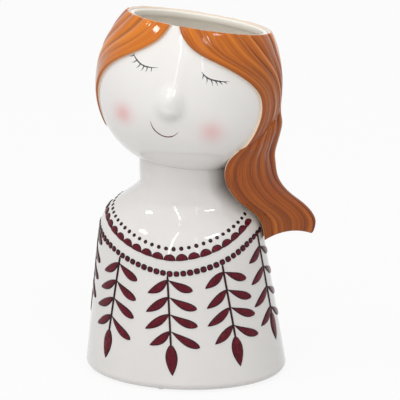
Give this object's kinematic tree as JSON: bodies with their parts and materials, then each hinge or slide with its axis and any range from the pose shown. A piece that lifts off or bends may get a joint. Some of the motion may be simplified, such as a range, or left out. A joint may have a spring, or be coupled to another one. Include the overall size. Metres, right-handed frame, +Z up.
{
  "type": "head planter",
  "caption": "Hollow glazed bust planter with a tilted open-topped head, long side-swept hair, raised leaf pattern and a plugged drain hole.",
  "frame": {"origin": "middle of the plane that the four foot pads stand on, under the centre of the oval base", "axes": "+Z up, the face looks along -Y, the hair falls over the shoulder on +X"},
  "size_m": [0.169, 0.1246, 0.2636],
  "materials": {
    "white_glaze": "glossy white glaze",
    "hair_glaze": "glossy streaked ginger glaze",
    "pattern_glaze": "raised burgundy glaze with dark edges",
    "pad_rubber": "soft grey stick-on pad",
    "plug_rubber": "soft milky rubber"
  },
  "bodies": {
    "planter": {"torso_shell": "white_glaze", "head_shell": "white_glaze", "left_hair_lock": "hair_glaze", "right_hair_sweep": "hair_glaze", "back_hair": "hair_glaze", "side_fall": "hair_glaze", "side_fall_back": "hair_glaze", "neckline_dots": "pattern_glaze", "scallop_trim": "pattern_glaze", "bead_row": "pattern_glaze", "leaf_sprig_1": "pattern_glaze", "leaf_sprig_2": "pattern_glaze", "leaf_sprig_3": "pattern_glaze", "leaf_sprig_4": "pattern_glaze", "leaf_sprig_5": "pattern_glaze", "leaf_sprig_6": "pattern_glaze", "leaf_sprig_7": "pattern_glaze", "leaf_sprig_8": "pattern_glaze", "leaf_sprig_9": "pattern_glaze", "foot_pads": "pad_rubber"},
    "plug": {"drain_plug": "plug_rubber"}
  },
  "joints": [
    {"name": "plug_pull", "type": "slide", "parent": "planter", "child": "plug", "axis": [0, 0, -1], "range_m": [0, 0.02]}
  ]
}
